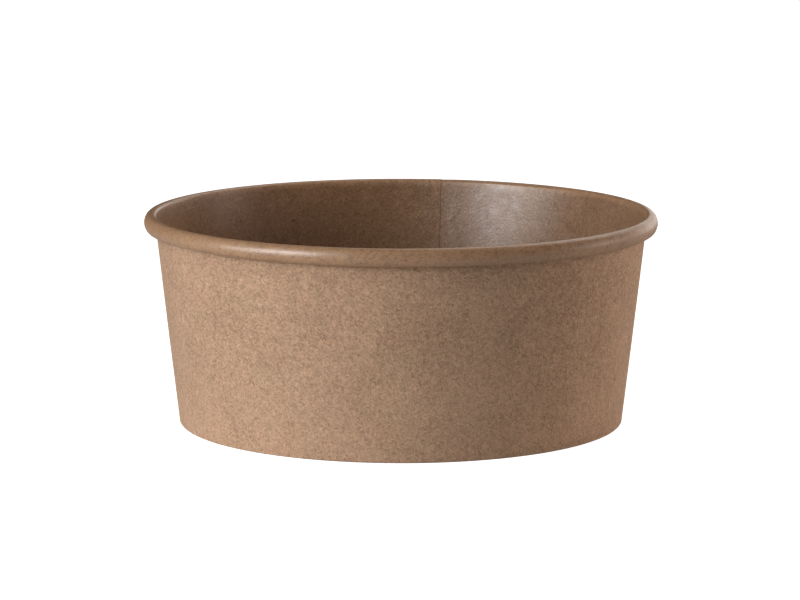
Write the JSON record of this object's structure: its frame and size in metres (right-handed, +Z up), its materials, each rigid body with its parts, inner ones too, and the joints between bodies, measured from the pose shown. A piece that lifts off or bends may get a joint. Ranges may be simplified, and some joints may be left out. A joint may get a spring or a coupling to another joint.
{
  "type": "paper salad bowl",
  "caption": "Round tapered kraft paperboard bowl with a rolled rim, a lapped side seam and a recessed base, for salad or other takeaway food.",
  "frame": {"origin": "middle of the foot ring, on the surface that the bowl stands on", "axes": "+Z up along the bowl's axis; -Y is the side nearest the camera in the picture; the side seam is at the back, 10 degrees from +Y towards +X"},
  "size_m": [0.15, 0.15, 0.0615],
  "materials": {
    "wall_board": "unbleached kraft board, matt outside, glossy moisture-proof film inside and over the rolled rim",
    "base_board": "unbleached kraft board, matt underneath, glossy moisture-proof film on top"
  },
  "bodies": {
    "root": {"side_wall": "wall_board", "base_disc": "base_board"}
  },
  "joints": []
}
